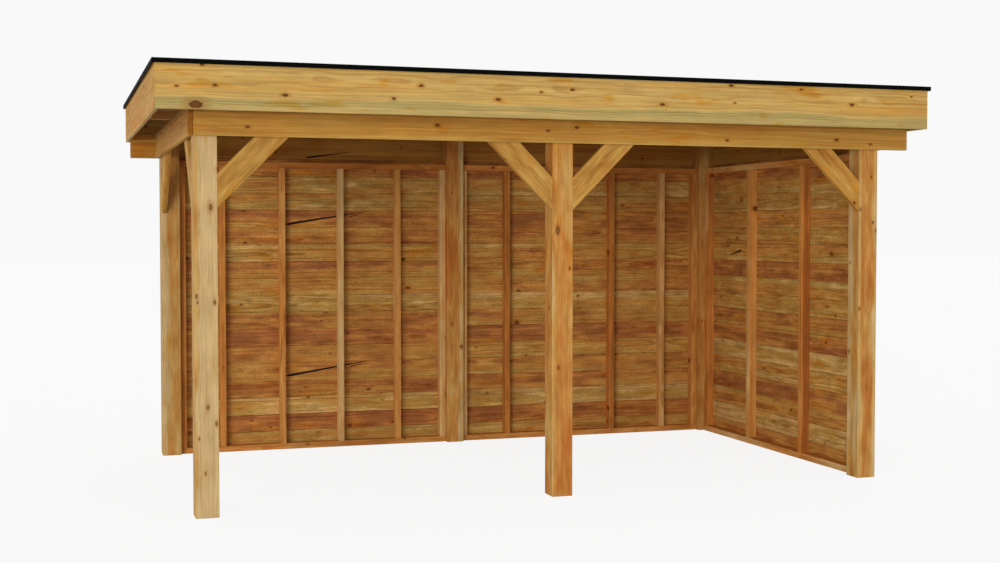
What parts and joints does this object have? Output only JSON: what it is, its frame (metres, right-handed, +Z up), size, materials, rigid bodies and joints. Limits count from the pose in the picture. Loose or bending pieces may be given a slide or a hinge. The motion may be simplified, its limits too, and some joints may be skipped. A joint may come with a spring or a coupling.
{
  "type": "freestanding veranda",
  "caption": "Freestanding timber veranda: square posts with diagonal braces and edge beams carry a flat roof with deep fascias; boarded walls close the back and right side.",
  "frame": {"origin": "on the ground, under the middle of the roof", "axes": "+X to the right along the open front, +Y to the boarded back, +Z up"},
  "size_m": [5.152, 3.122, 2.695],
  "materials": {
    "post_timber": "planed softwood, bare and unpainted",
    "beam_timber": "planed softwood, bare and unpainted",
    "brace_timber": "planed softwood, bare and unpainted",
    "joist_timber": "planed softwood, bare and unpainted",
    "deck_timber": "planed softwood, bare and unpainted",
    "fascia_timber": "planed softwood, bare and unpainted",
    "stud_timber": "planed softwood, bare and unpainted",
    "plate_timber": "planed softwood, bare and unpainted",
    "cladding_timber": "planed softwood, bare and unpainted",
    "roof_membrane": "matt black sheet",
    "edge_trim": "satin black folded trim",
    "fixings": "zinc-plated screw and nail heads"
  },
  "bodies": {
    "root": {"post_front_left": "post_timber", "post_front_middle": "post_timber", "post_front_right": "post_timber", "post_back_left": "post_timber", "post_back_middle": "post_timber", "post_back_right": "post_timber", "beam_front": "beam_timber", "beam_back": "beam_timber", "beam_left": "beam_timber", "beam_right": "beam_timber", "brace_front_left": "brace_timber", "brace_front_middle_left": "brace_timber", "brace_front_middle_right": "brace_timber", "brace_front_right": "brace_timber", "brace_side_front": "brace_timber", "brace_side_back": "brace_timber", "roof_joists": "joist_timber", "roof_outriggers": "joist_timber", "roof_deck": "deck_timber", "fascia_front": "fascia_timber", "fascia_back": "fascia_timber", "fascia_left": "fascia_timber", "fascia_right": "fascia_timber", "roof_membrane": "roof_membrane", "trim_front": "edge_trim", "trim_back": "edge_trim", "trim_left": "edge_trim", "trim_right": "edge_trim", "back_left_bottom_plate": "stud_timber", "back_left_top_plate": "plate_timber", "back_left_studs": "stud_timber", "back_left_cladding": "cladding_timber", "back_right_bottom_plate": "stud_timber", "back_right_top_plate": "plate_timber", "back_right_studs": "stud_timber", "back_right_cladding": "cladding_timber", "right_wall_bottom_plate": "stud_timber", "right_wall_top_plate": "plate_timber", "right_wall_studs": "stud_timber", "right_wall_cladding": "cladding_timber"}
  },
  "joints": []
}
